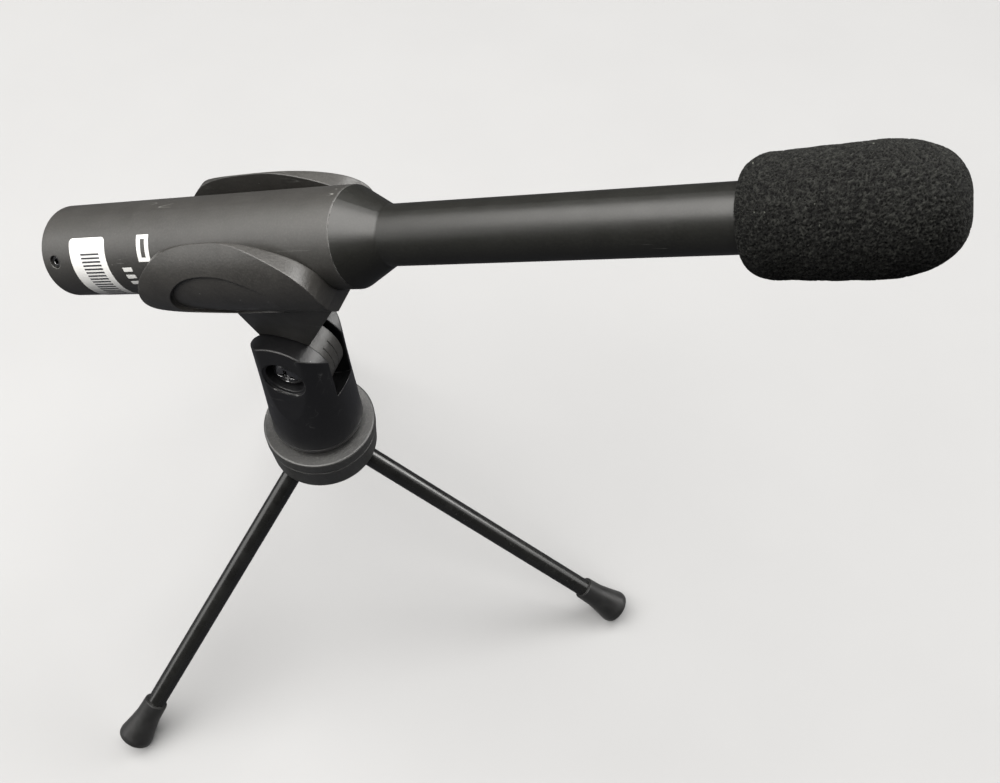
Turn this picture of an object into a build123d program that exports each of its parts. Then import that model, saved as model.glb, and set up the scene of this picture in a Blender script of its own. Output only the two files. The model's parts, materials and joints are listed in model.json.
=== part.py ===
from build123d import *
import math
import os

# ---------------------------------------------------------------------------
# Small desktop measurement microphone on a folding three-legged table stand.
# Millimetres.  +Z is up, z = 0 is the table, the stand's axis is x = y = 0 and
# +X is the direction that the microphone faces.  The microphone is nosed up.
# ---------------------------------------------------------------------------

# microphone: stations run along its axis, + towards the capsule
TILT_DEG = 21.715          # nose-up angle of the microphone's axis
MIC_AXIS_Z = 149.67        # height where the microphone's axis crosses the stand's
BARREL_R = 10.85
BARREL_IN_R = 9.60
BARREL_PLUG_R = BARREL_IN_R - 0.02   # parts that plug the barrel's ends
BARREL_REAR, BARREL_FRONT = -60.6, 24.06
CONE_FRONT = 32.30
TUBE_R = 6.35              # half-inch tube
TUBE_IN_R = 5.35
TUBE_FRONT = 128.0
GRILLE_FRONT = 134.0

# swivel
PIVOT_Z = 110.0            # tilt axis, along Y
PIVOT_SCREW_R = 2.0
EAR_R = 11.35              # radius of the adapter's body
SLOT_NEAR, SLOT_FAR = 4.05, 4.55     # slot walls, towards -Y and +Y
TONGUE_NEAR, TONGUE_FAR = 4.00, 3.40

# stand
HUB_TOP_Z = 79.07
HUB_SPLIT_Z = 75.40
HUB_LOW_Z = 67.10
HUB_R = 14.94
LEGS = ((4.4, 1), (124.4, 1), (244.4, -1))   # azimuth, side of the leg its pin goes in from
LEG_R = 2.60
LEG_PIVOT_R, LEG_PIVOT_Z = 8.0, 68.84
FOOT_R, FOOT_Z = 84.5, 4.50          # middle of each foot, above its sole, on the rod's axis

# threads
THREAD_3_8_R = 4.7625
THREAD_5_8_R = 7.9375

GAP = 0.05                 # radial clearance of a running fit

os.makedirs("parts", exist_ok=True)


# ---------------------------------------------------------------------------
# helpers
# ---------------------------------------------------------------------------
def outline(points):
    """Closed face. A point is (x, y), or (x, y, radius) where its corner is rounded."""
    face = Sketch() + make_face(Polyline(*[point[:2] for point in points], close=True))
    for x, y, *radius in points:
        if radius:
            corner = face.vertices().sort_by_distance(Vector(x, y, 0))[0]
            face = fillet(corner, radius[0])
    return face


def turned_z(points):
    """Solid of revolution about Z from (radius, z) points."""
    return revolve(Plane.XZ * outline(points), Axis.Z)


def turned_x(points):
    """Solid of revolution about X from (x, radius) points."""
    return revolve(Plane.XZ * outline(points), Axis.X)


def turned_y(points):
    """Solid of revolution about Y from (radius, y) points."""
    return revolve(Plane.XY * outline(points), Axis.Y)


def prism_y(face, y0, y1):
    """Outline drawn in x-z, extruded from y0 to y1."""
    return Pos(0, y0, 0) * extrude(Plane.XZ * face, amount=-(y1 - y0))


def rod_z(radius, z0, z1, x=0.0, y=0.0):
    upright = Cylinder(radius, z1 - z0, align=(Align.CENTER, Align.CENTER, Align.MIN))
    return Pos(x, y, z0) * upright


def rod_x(radius, x0, x1, y=0.0, z=0.0):
    return Pos(x0, y, z) * (Rot(0, 90, 0) * rod_z(radius, 0, x1 - x0))


def rod_y(radius, y0, y1, x=0.0, z=0.0):
    return Pos(x, y0, z) * (Rot(-90, 0, 0) * rod_z(radius, 0, y1 - y0))


def block(x0, x1, y0, y1, z0, z1):
    middle = Pos((x0 + x1) / 2, (y0 + y1) / 2, (z0 + z1) / 2)
    return middle * Box(x1 - x0, y1 - y0, z1 - z0)


def hexagon_z(across_flats, length):
    return extrude(RegularPolygon(across_flats / math.sqrt(3), 6), amount=length)


def stadium_x(width, height, x0, x1):
    """Bar along X with a round-ended section, wide in y."""
    face = SlotOverall(width, height, rotation=90)
    return Pos(x0, 0, 0) * (Rot(0, 90, 0) * extrude(face, amount=x1 - x0))


def group(parts):
    return Compound(children=[part.solid() for part in parts])


def save(shape, name):
    solids = shape.solids()
    shape = solids[0] if len(solids) == 1 else Compound(children=list(solids))
    shape.label = name
    export_step(shape, "parts/" + name + ".step")


# microphone frame: x along its axis, z its top
MIC = Pos(0, 0, MIC_AXIS_Z) * Rot(0, -TILT_DEG, 0)

# ---------------------------------------------------------------------------
# stand: a two-part disc hub on three folding rods
# ---------------------------------------------------------------------------
CLAMP_SCREW_R = 2.5
CLAMP_HOLE_R = CLAMP_SCREW_R + 0.25
CLAMP_HEAD_R = 4.25
CLAMP_SEAT_Z = HUB_LOW_Z + 5.5       # inner end of the screw head's counterbore
SPIGOT_R = 5.0                       # stud's spigot, sunk in the hub's top
SPIGOT_Z = HUB_TOP_Z - 1.5
STUD_BORE_R = 2.52

foot_dx, foot_dz = FOOT_R - LEG_PIVOT_R, LEG_PIVOT_Z - FOOT_Z
LEG_LEN = math.hypot(foot_dx, foot_dz)
LEG_DIP = math.degrees(math.atan2(foot_dz, foot_dx))      # below the horizontal
LEG_SLOT_R = LEG_R + 0.15
PIN_R = 1.0
PIN_BLIND, PIN_OPEN = 6.0, 8.6       # pin hole's blind end, and how far the pin's seat reaches

# rubber foot: station from the rod's nominal end, radius, corner rounding
FOOT_PROFILE = [
    (-12.1, LEG_R + 0.01), (-12.1, LEG_R + 0.75, 0.22), (-7.0, LEG_R + 0.95, 12.0),
    (-3.4, LEG_R + 1.55, 12.0), (0.3, 4.90, 0.5), (1.80, 4.86, 0.85), (2.45, 2.4, 3.0),
    (2.55, 0), (0.62, 0), (0.62, LEG_R + 0.01)]


def hub_top_disc():
    disc = turned_z([
        (0, HUB_SPLIT_Z), (HUB_R - 0.35, HUB_SPLIT_Z), (HUB_R, HUB_SPLIT_Z + 0.35),
        (HUB_R, HUB_TOP_Z, 0.5), (0, HUB_TOP_Z)])
    disc -= rod_z(CLAMP_HOLE_R, 70, 82)
    return disc - rod_z(SPIGOT_R + GAP, SPIGOT_Z, 82)


def leg_slot():
    """Slot for a leg along +X, open below, its roof following the lowered rod."""
    along_x, along_z = math.cos(math.radians(LEG_DIP)), -math.sin(math.radians(LEG_DIP))
    inner_x = LEG_PIVOT_R - LEG_SLOT_R
    top_z = LEG_PIVOT_Z + LEG_SLOT_R
    roof_x = LEG_PIVOT_R - along_z * LEG_SLOT_R
    roof_z = LEG_PIVOT_Z + along_x * LEG_SLOT_R
    return prism_y(outline([
        (inner_x, 60), (inner_x, top_z, LEG_SLOT_R * 0.95), (roof_x, top_z),
        (roof_x + 0.35, roof_z + 0.30),
        (roof_x + 14 * along_x, roof_z + 14 * along_z + 0.10), (22, 60)]),
        -LEG_SLOT_R, LEG_SLOT_R)


def hub_lower_disc():
    disc = turned_z([
        (0, HUB_LOW_Z), (13.35, HUB_LOW_Z), (14.35, HUB_LOW_Z + 1.2, 0.8),
        (HUB_R - 0.12, HUB_SPLIT_Z - 0.4), (HUB_R - 0.5, HUB_SPLIT_Z), (0, HUB_SPLIT_Z)])
    disc -= rod_z(CLAMP_HOLE_R, 60, 80)
    disc -= rod_z(CLAMP_HEAD_R + 0.2, 60, CLAMP_SEAT_Z)
    slot = leg_slot()
    for azimuth, side in LEGS:
        turn = Rot(0, 0, azimuth)
        disc -= turn * slot
        y0, y1 = sorted((-PIN_BLIND * side, 16 * side))
        disc -= turn * rod_y(PIN_R + 0.01, y0, y1, LEG_PIVOT_R, LEG_PIVOT_Z)
    return disc


def leg_pin(azimuth, side):
    y0, y1 = sorted((-PIN_BLIND * side, PIN_OPEN * side))
    return Rot(0, 0, azimuth) * rod_y(PIN_R, y0 + 0.02, y1 - 0.02, LEG_PIVOT_R, LEG_PIVOT_Z)


def leg_place(azimuth):
    """Frame of a leg: origin at its pivot, x along its rod."""
    return Rot(0, 0, azimuth) * Pos(LEG_PIVOT_R, 0, LEG_PIVOT_Z) * Rot(0, LEG_DIP, 0)


def leg_rod(azimuth):
    rod = rod_x(LEG_R, 0, LEG_LEN + 0.6)
    rod += Sphere(LEG_R)
    for y0, y1 in ((1.9, 4), (-4, -1.9)):                  # flats make the pivot eye
        rod -= block(-4, 3.2, y0, y1, -4, 4)
    rod -= rod_y(PIN_R + GAP, -4, 4)
    return leg_place(azimuth) * rod


def rubber_foot(azimuth):
    """Flared ferrule over the rod's end with a nearly flat sole."""
    foot = turned_x([(LEG_LEN + station, *rest) for station, *rest in FOOT_PROFILE])
    foot = leg_place(azimuth) * foot
    return foot - block(-200, 200, -200, 200, -30, 0)      # small flat worn on by the table


def hub_stud():
    return turned_z([
        (STUD_BORE_R, SPIGOT_Z), (SPIGOT_R, SPIGOT_Z), (SPIGOT_R, HUB_TOP_Z),
        (9.3, HUB_TOP_Z), (9.3, 81.38), (4.25, 81.38), (4.25, 82.2), (THREAD_3_8_R, 82.8),
        (THREAD_3_8_R, 91.3), (4.0, 92.1), (STUD_BORE_R, 92.1)])


def hub_clamp_screw():
    head_z = HUB_LOW_Z + 0.5
    screw = turned_z([
        (0, head_z), (CLAMP_HEAD_R, head_z, 0.4), (CLAMP_HEAD_R, CLAMP_SEAT_Z),
        (CLAMP_SCREW_R, CLAMP_SEAT_Z), (CLAMP_SCREW_R, 87.6), (2.1, 88.0), (0, 88.0)])
    return screw - Pos(0, 0, HUB_LOW_Z) * hexagon_z(4.0, 3.2)


# ---------------------------------------------------------------------------
# swivel adapter: forked body over a 5/8 to 3/8 inch thread reducer
# ---------------------------------------------------------------------------
EAR_TOP = 10.95                      # height of the ears' arched tops above the tilt axis
SLOT_FLOOR_R = 14.0
ADAPTER_FOOT_Z = 82.40
ADAPTER_BLANK_Z = 124                # top of the turned blank, before the ears are arched
# body's side: radius, z
ADAPTER_SIDE = [(12.0, ADAPTER_FOOT_Z), (11.78, 90), (11.58, 96), (11.38, 103),
                (11.2, 112), (11.0, ADAPTER_BLANK_Z)]
# flattening of the ears' outer faces: distance from the middle in y, z
CHEEK = [(12.6, 89.0), (11.45, 96), (10.3, 103), (9.72, 110), (9.5, 117), (9.45, 126)]
NUT_AF = 7.0
NUT_Y, NUT_THICK = 6.12, 3.2


def thread_reducer():
    bore_r, flange_r = THREAD_3_8_R + GAP, 12.10
    reducer = turned_z([
        (bore_r, 81.40), (flange_r, 81.40, 0.3), (flange_r, 82.38, 0.3), (7.35, 82.38),
        (7.35, 83.0), (THREAD_5_8_R, 83.6), (THREAD_5_8_R, 92.4), (7.3, 93.0), (bore_r, 93.0)])
    return reducer - block(-5.6, 5.6, -0.8, 0.8, 91.9, 94)    # driver slot across its top


def hex_towards_far(across_flats, length, y):
    """Hexagonal bar on the tilt axis, from y towards +Y."""
    bar = Rot(90, 0, 0) * hexagon_z(across_flats, length)
    return Pos(0, y, PIVOT_Z) * Rot(0, 0, 180) * bar


def adapter_body():
    """Turned blank with flattened ears, softened where the two surfaces meet."""
    side = (Polyline((0, ADAPTER_FOOT_Z), ADAPTER_SIDE[0]) + Spline(*ADAPTER_SIDE)
            + Polyline(ADAPTER_SIDE[-1], (0, ADAPTER_BLANK_Z), (0, ADAPTER_FOOT_Z)))
    body = revolve(Plane.XZ * make_face(side), Axis.Z)
    for way in (1, -1):
        cheek = Spline(*CHEEK) + Polyline(CHEEK[-1], (16, 126), (16, 89), CHEEK[0])
        face = Plane.YZ * make_face(cheek)
        if way < 0:
            face = mirror(face, Plane.XZ)
        body -= Pos(-15, 0, 0) * extrude(face, amount=30)
    creases = [edge for edge in body.edges()
               if edge.length > 20 and 95 < edge.center().Z < 123
               and edge.bounding_box().size.Z > 12]
    # guards the crease fillet: where it fails or spoils the body, the creases stay sharp
    try:
        softened = fillet(creases, 1.6)
        if softened.is_valid and abs(softened.volume - body.volume) < 200:
            body = softened
    except Exception:
        pass
    return body


def ear_top_edges(body):
    return [edge for edge in body.edges() if edge.center().Z > PIVOT_Z + 5 and edge.length > 8]


def swivel_adapter():
    dome = Rot(90, 0, 0) * extrude(Ellipse(EAR_R + 0.01, EAR_TOP), amount=20, both=True)
    arch = block(-20, 20, -20, 20, 80, PIVOT_Z) + Pos(0, 0, PIVOT_Z) * dome
    adapter = adapter_body() & arch
    adapter -= turned_z([(0, 80), (7.96, 80), (7.96, 94.0), (0, 94.4)])    # 5/8-27 thread bore
    # slot for the clip's tongue, with a round floor
    left, right = (-SLOT_FLOOR_R, PIVOT_Z), (SLOT_FLOOR_R, PIVOT_Z)
    slot_side = (ThreePointArc(left, (0, PIVOT_Z - SLOT_FLOOR_R), right)
                 + Polyline(right, (SLOT_FLOOR_R, 130), (-SLOT_FLOOR_R, 130), left))
    slot = extrude(Plane.XZ * make_face(slot_side), amount=SLOT_FAR + SLOT_NEAR)
    adapter -= Pos(0, SLOT_FAR, 0) * slot
    adapter = adapter.solids()[0]
    # outer rims of the ears' tops, then the rims at the slot
    adapter = fillet([e for e in ear_top_edges(adapter) if abs(e.center().Y) > 5], 0.5)
    adapter = fillet([e for e in ear_top_edges(adapter) if abs(e.center().Y) < 4.8], 0.3)
    adapter -= rod_y(PIVOT_SCREW_R + 0.15, -14, 14, 0, PIVOT_Z)
    adapter -= rod_y(5.05, -14, -5.9, 0, PIVOT_Z)          # counterbore for the screw's head
    mouth = turned_y([(0, -10), (5.75, -10), (5.75, -9.3), (5.0, -8.9), (0, -8.9)])
    adapter -= Pos(0, 0, PIVOT_Z) * mouth
    adapter -= hex_towards_far(NUT_AF + 0.06, 8, NUT_Y - 0.02)
    return adapter.solids()[0]


def pivot_nut():
    nut = hex_towards_far(NUT_AF, NUT_THICK, NUT_Y)
    nut -= rod_y(PIVOT_SCREW_R + 0.02, 0, 20, 0, PIVOT_Z)
    # trims the hexagon's corners, more at both faces
    barrel = Rot(90, 0, 0) * (Cylinder(3.75, NUT_THICK) + Cylinder(4.04, 2.5))
    return nut & Pos(0, NUT_Y + NUT_THICK / 2, PIVOT_Z) * barrel


def friction_washer():
    washer = rod_y(6.6, TONGUE_FAR + 0.03, SLOT_FAR - 0.03, 0, PIVOT_Z)
    return washer - rod_y(PIVOT_SCREW_R + 0.12, 0, 9, 0, PIVOT_Z)


def pivot_screw():
    """Pan head towards -Y with a cross recess."""
    head = turned_y([(0, -8.50), (2.6, -8.30, 1.6), (4.15, -7.20, 0.5), (4.15, -5.92),
                     (0, -5.92)])
    shank = turned_y([(0, -6.2), (PIVOT_SCREW_R, -6.2), (PIVOT_SCREW_R, 9.3), (1.6, 9.7),
                      (0, 9.7)])
    cross = Box(4.6, 4.0, 0.95) + Box(0.95, 4.0, 4.6)
    taper = turned_y([(0, -10.5), (2.6, -10.5), (2.45, -8.4), (1.0, -6.6), (0, -6.6)])
    cross = Pos(0, -8.6, 0) * cross & taper
    pit = turned_y([(0, -10), (1.2, -10), (1.05, -8.2), (0, -6.5)])
    return Pos(0, 0, PIVOT_Z) * (head + shank - cross - pit)


# ---------------------------------------------------------------------------
# clip: one springy moulding; wings, channel and pads are in the microphone's frame
# ---------------------------------------------------------------------------
CLIP_BORE_R = BARREL_R + 0.08
WING_DROP = 0.5                      # the wings' oval section sits this far below the bore
TONGUE_END_R = 9.9

# oval sections: station, half width, half height
WING_OVALS = [(-36, 13.7, 13.6), (-28, 15.0, 14.4), (-18, 15.6, 14.5),
              (-8, 15.85, 14.6), (6, 15.85, 14.6), (22, 15.85, 14.6)]
PAD_OVALS = [(-36, 12.7, 12.6), (-28, 14.0, 13.4), (-18, 14.7, 13.6),
             (-8, 15.2, 13.95), (2, 15.6, 14.35), (9.5, 15.9, 14.65)]

# side view of the leaf-shaped wings: station, height from the microphone's axis
LEAF = [(-20.5, -12.7), (-24.6, -12.3), (-28.8, -11.0), (-31.4, -8.4), (-32.0, -5.4),
        (-31.2, -2.4), (-29.7, 0.4), (-27.8, 2.9), (-25.2, 5.3), (-22.2, 7.3), (-18.6, 8.8),
        (-14.2, 9.75), (-9.8, 10.15), (-5.4, 10.25), (-1.8, 10.2), (1.4, 9.85), (4.7, 9.05),
        (8.6, 7.75), (12.2, 6.15), (15.5, 4.2), (18.1, 1.6), (19.3, -1.6), (19.0, -6.0),
        (17.6, -11.0)]
# side view of the thumb pads, same columns
PAD = [(9.0, -9.2), (-8.0, -9.5), (-17.0, -9.5), (-20.6, -8.3), (-22.1, -5.6), (-21.5, -2.6),
       (-19.9, -0.2), (-17.2, 2.0), (-13.8, 3.6), (-10.2, 4.3), (-5.8, 4.4), (-2.0, 3.9),
       (2.0, 2.5), (6.0, 0.4), (9.0, -1.8)]


def oval_loft(stations):
    return loft([
        (Plane(origin=(station, 0, -WING_DROP), x_dir=(0, 1, 0), z_dir=(1, 0, 0))
         * Ellipse(half_width, half_height)).face()
        for station, half_width, half_height in stations])


def clip_wings():
    leaf = Sketch() + make_face(
        Spline(*LEAF, tangents=[(-1, 0), (-0.3, -1)])
        + Polyline(LEAF[-1], (14.0, -12.7), LEAF[0]))
    return oval_loft(WING_OVALS) & prism_y(leaf, -20, 20)


def clip_channel():
    """U-shaped channel: half round below, walls that lean in slightly above."""
    lean_r = CLIP_BORE_R - 0.45
    lean = outline([(-CLIP_BORE_R, 0), (CLIP_BORE_R, 0), (lean_r, 10.5), (lean_r, 20),
                    (-lean_r, 20), (-lean_r, 10.5)])
    return rod_x(CLIP_BORE_R, -45, 40) + Pos(-45, 0, 0) * extrude(Plane.YZ * lean, amount=85)


def clip_neck():
    """Flares from the tongue to the underside of the wings, and clears the ears."""
    low = (Pos(-1.1, -(TONGUE_NEAR - TONGUE_FAR) / 2, PIVOT_Z + 8.2)
           * Rectangle(12.8, TONGUE_NEAR + TONGUE_FAR))
    high = MIC * Pos(4.1, 0, -9.2) * Rectangle(27.4, 23.8)
    neck = loft([low.face(), high.face()], ruled=True)
    for y0, y1 in ((-20, -TONGUE_NEAR), (TONGUE_FAR, 20)):
        neck -= rod_y(EAR_R + 0.25, y0, y1, 0, PIVOT_Z)
    return neck


def clip_tongue():
    face = outline([(-7.5, PIVOT_Z), (-7.5, PIVOT_Z + 9.5), (5.3, PIVOT_Z + 9.5),
                    (5.3, PIVOT_Z)])
    tongue = (prism_y(face, -TONGUE_NEAR, TONGUE_FAR)
              + rod_y(TONGUE_END_R, -TONGUE_NEAR, TONGUE_FAR, 0, PIVOT_Z))
    tongue -= rod_y(PIVOT_SCREW_R + 0.10, -9, 9, 0, PIVOT_Z)
    # two fine moulding lines run round the tongue's edge
    for y in (-1.55, 0.75):
        ring = (rod_y(TONGUE_END_R + 1, y - 0.10, y + 0.10, 0, PIVOT_Z)
                - rod_y(TONGUE_END_R - 0.16, y - 0.2, y + 0.2, 0, PIVOT_Z))
        tongue -= ring & block(-20, 20, -5, 5, 90, PIVOT_Z + 6)
    return tongue


def thumb_pads():
    """Recesses in the wings' outer faces: deep behind, fading forward."""
    face = Sketch() + make_face(Spline(*PAD) + Line(PAD[-1], PAD[0]))
    return prism_y(face, -20, 20) - oval_loft(PAD_OVALS)


def mic_clip():
    clip = MIC * clip_wings() + clip_neck()
    clip -= MIC * clip_channel()
    clip += clip_tongue()
    clip -= MIC * thumb_pads()
    return clip.solids().sort_by(SortBy.VOLUME)[-1]


# ---------------------------------------------------------------------------
# barrel, front tube and rear cap, in the microphone's frame
# ---------------------------------------------------------------------------
SPIGOT_REAR = 13.0                   # front tube's spigot inside the barrel
SPIGOT_IN_R = 7.4
O_RING_S = 17.5
REAR_CAP_FRONT = -53.2
REAR_CAP_FLOOR = -58.2
SET_SCREW_S = -56.6
SET_SCREW_ROLL = 120.0               # degrees from straight below, towards -Y
SCREW_TURN = Rot(-SET_SCREW_ROLL, 0, 0)   # rolls what is drawn straight below
USB_W, USB_H = 8.94, 3.26            # type C receptacle shell
USB_WALL = 0.3


def mic_barrel():
    barrel = turned_x([
        (BARREL_REAR, BARREL_IN_R), (BARREL_REAR, BARREL_R - 0.15),
        (BARREL_REAR + 0.15, BARREL_R), (BARREL_FRONT - 0.12, BARREL_R),
        (BARREL_FRONT, BARREL_R - 0.12), (BARREL_FRONT, BARREL_IN_R)])
    return barrel - SCREW_TURN * rod_z(1.55, -14, -8, SET_SCREW_S)


def front_tube():
    shoulder = BARREL_FRONT + 0.02
    tube = turned_x([
        (SPIGOT_REAR, SPIGOT_IN_R), (SPIGOT_REAR, BARREL_PLUG_R), (shoulder, BARREL_PLUG_R),
        (shoulder, BARREL_R - 0.05), (CONE_FRONT, TUBE_R, 1.2), (TUBE_FRONT, TUBE_R),
        (TUBE_FRONT, TUBE_IN_R), (27.0, TUBE_IN_R), (24.0, SPIGOT_IN_R)])
    groove = Cylinder(12, 1.3) - Cylinder(BARREL_IN_R - 1.20, 1.3)
    return tube - Pos(O_RING_S, 0, 0) * (Rot(0, 90, 0) * groove)


def barrel_o_ring():
    return Pos(O_RING_S, 0, 0) * (Rot(0, 90, 0) * Torus(BARREL_IN_R - 0.62, 0.55))


def rear_cap():
    rear, wall_in_r = BARREL_REAR + 0.3, BARREL_IN_R - 1.8
    cap = turned_x([
        (rear, 0), (rear, BARREL_IN_R - 0.3), (BARREL_REAR + 0.6, BARREL_PLUG_R),
        (REAR_CAP_FRONT, BARREL_PLUG_R), (REAR_CAP_FRONT, wall_in_r),
        (REAR_CAP_FLOOR, wall_in_r), (REAR_CAP_FLOOR, 0)])
    boss = rod_z(2.6, -BARREL_IN_R + 0.6, -5.6, SET_SCREW_S)
    cap += SCREW_TURN * (boss & block(-70, -50, -4, 4, -9.3, -5.6))
    cap -= SCREW_TURN * rod_z(1.27, -14, -6.2, SET_SCREW_S)
    cap -= stadium_x(USB_W + 0.3, USB_H + 0.3, -63, -55)
    return cap.solids().sort_by(SortBy.VOLUME)[-1]


def set_screw():
    screw = rod_z(1.25, -BARREL_R + 0.45, -6.3, SET_SCREW_S)
    return SCREW_TURN * (screw - Pos(SET_SCREW_S, 0, -BARREL_R) * hexagon_z(1.3, 1.9))


def usb_socket():
    shell = stadium_x(USB_W, USB_H, -60.0, -52.7)
    shell -= stadium_x(USB_W - 2 * USB_WALL, USB_H - 2 * USB_WALL, -60.1, -53.6)
    return shell + block(-59.4, -53.59, -3.34, 3.34, -0.35, 0.35)


# ---------------------------------------------------------------------------
# circuit board, in the microphone's frame
# ---------------------------------------------------------------------------
PCB_TOP, PCB_LOW = -1.65, -3.25
PCB_HALF_WIDTH = 8.2
# chips: x0, x1, y0, y1, height above the board
CHIPS = [(-46, -39, -3.5, 3.5, 1.0), (-35.5, -30.5, -2.5, 2.5, 0.9),
         (-50.2, -48.2, -1.6, 1.6, 0.8), (-29.0, -27.0, -4.6, -3.4, 0.7),
         (-29.0, -27.0, 3.4, 4.6, 0.7)]
CHIPS += [(-38.1, -37.1, y - 0.9, y + 0.9, 0.6) for y in (-5.2, -1.8, 1.8, 5.2)]
CHIPS += [(-14, -8, -2.5, 2.5, 1.3)]      # the one under the shield can


def on_board(x0, x1, y0, y1, height):
    return block(x0, x1, y0, y1, PCB_TOP + 0.01, PCB_TOP + height)


def circuit_board():
    board = block(-57.4, 8.0, -PCB_HALF_WIDTH, PCB_HALF_WIDTH, PCB_LOW, PCB_TOP)
    board -= block(-59, -56.9, -9, 9, -5, 0)
    # notches in the rear corners
    board -= (block(-57.6, -52.0, 6.6, 9.2, -5, 0)
              + block(-57.6, -52.0, -9.2, -6.6, -5, 0))
    for x in (-50.5, 5.0):
        for y in (-6.4, 6.4):
            board -= rod_z(0.8, -5, 0, x, y)
    return board


def board_capacitors():
    return group([rod_z(2.0, PCB_TOP + 0.01, PCB_TOP + 5.4, -24.0, y)
                  for y in (-4.6, 0.0, 4.6)])


def shield_can():
    can = on_board(-20.5, 0.5, -7.0, 7.0, 4.2)
    return can - block(-20.2, 0.2, -6.7, 6.7, PCB_TOP - 1, PCB_TOP + 3.9)


def board_rail(side):
    """Moulded side channel that holds the board in the barrel."""
    y0, y1 = sorted((side * 6.9, side * 9.55))
    rail = block(-51.0, 7.0, y0, y1, -5.2, 0.6)
    rail = rail & rod_x(BARREL_IN_R - 0.03, -51.0, 7.0)
    groove_y = PCB_HALF_WIDTH + 0.05
    rail -= block(-60, 20, -groove_y, groove_y, PCB_LOW - 0.03, PCB_TOP + 0.03)
    return rail - block(-60, 20, -7.3, 7.3, PCB_TOP - 0.5, 3)


# ---------------------------------------------------------------------------
# electret capsule, its sleeve, cloth, grille, leads and windscreen
# ---------------------------------------------------------------------------
SLEEVE_IN_R = 4.88
GRILLE_IN_R = 5.0
GRILLE_HOLES = ((0.0, 1), (2.2, 6), (3.9, 10))   # ring radius, number of holes
FOAM_REAR = 106.5
FOAM_FRONT = FOAM_REAR + 35.8
FOAM_R = 11.33
FOAM_CAP_LEN = 16.5                  # rounded front
FOAM_POWER = 2 / 2.75                # superellipse exponent of the rounded front


def mic_capsule():
    return turned_x([(121.2, 0), (121.2, 4.7), (121.5, 4.85), (127.6, 4.85), (127.9, 4.6),
                     (127.9, 1.2), (127.4, 1.2), (127.4, 0)])


def capsule_sleeve():
    out_r = TUBE_IN_R - 0.02
    return turned_x([(120.9, SLEEVE_IN_R), (120.9, out_r), (127.95, out_r),
                     (127.95, SLEEVE_IN_R)])


def capsule_dust_cloth():
    return turned_x([(128.02, 0), (128.02, 4.9), (128.32, 4.9), (128.32, 0)])


def grille_cap():
    rear, face_in = TUBE_FRONT + 0.02, GRILLE_FRONT - 0.8
    cap = turned_x([(rear, GRILLE_IN_R), (rear, TUBE_R), (GRILLE_FRONT, TUBE_R, 0.8),
                    (GRILLE_FRONT, 0), (face_in, 0), (face_in, GRILLE_IN_R)])
    for i in range(6):                                     # side windows
        window = block(TUBE_FRONT + 1.6, GRILLE_FRONT - 1.5, -0.7, 0.7, 3, 8)
        cap -= Rot(30 + 60 * i, 0, 0) * window
    for ring_r, count in GRILLE_HOLES:
        for i in range(count):
            angle = 2 * math.pi * i / count
            y, z = ring_r * math.cos(angle), ring_r * math.sin(angle)
            cap -= rod_x(0.55, GRILLE_FRONT - 2, GRILLE_FRONT + 1, y, z)
    return cap


def capsule_lead(y):
    path = Spline((2.5, y * 1.5, PCB_TOP + 0.6), (12.0, y * 1.4, -0.6), (30.0, y, 0.0),
                  (75.0, y * 0.8, 0.0), (120.4, y, 0.0))
    profile = Plane(origin=path @ 0, z_dir=path % 0) * Circle(0.45)
    return sweep(profile, path=path)


def lead_seal(leads):
    seal = turned_x([(14.0, 0), (14.0, 7.35), (18.0, 7.35), (18.0, 0)])
    for lead in leads:
        seal -= lead
    return seal


def foam_windscreen():
    """Closed plain form with a blind bore."""
    bore_r = TUBE_R + GAP
    points = [(FOAM_REAR, bore_r), (FOAM_REAR, 6.9), (FOAM_REAR + 0.9, 9.4),
              (FOAM_REAR + 3.6, 10.75)]
    for i in range(11):
        angle = math.pi / 2 * i / 10
        station = FOAM_FRONT - FOAM_CAP_LEN + FOAM_CAP_LEN * math.sin(angle) ** FOAM_POWER
        radius = FOAM_R * math.cos(angle) ** FOAM_POWER if i < 10 else 0.0
        points.append((station, radius))
    points += [(GRILLE_FRONT + 0.3, 0), (GRILLE_FRONT + 0.3, bore_r)]
    return turned_x(points)


# ---------------------------------------------------------------------------
# label and print on the barrel; angles are rolls from straight below towards -Y
# ---------------------------------------------------------------------------
LABEL_REAR, LABEL_FRONT = -51.0, -39.5
LABEL_TOP, LABEL_LOW = 148.0, 22.0
LABEL_CORNER_R = 1.1
LABEL_LIFT, PRINT_LIFT = 0.055, 0.035     # outer faces above the barrel


def band(lift, x0, x1):
    """Thin ring just off the barrel."""
    return rod_x(BARREL_R + lift, x0, x1) - rod_x(BARREL_R + 0.005, x0 - 1, x1 + 1)


def wedge(low_deg, high_deg, x0, x1):
    """Sector of the barrel between two rolls, reaching outside it."""
    reach, steps = 14.0, 12
    points = [(0.0, 0.0)]
    for i in range(steps + 1):
        angle = math.radians(low_deg + (high_deg - low_deg) * i / steps)
        points.append((-reach * math.sin(angle), -reach * math.cos(angle)))
    face = Plane.YZ * make_face(Polyline(*points, close=True))
    return Pos(x0, 0, 0) * extrude(face, amount=x1 - x0)


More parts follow.
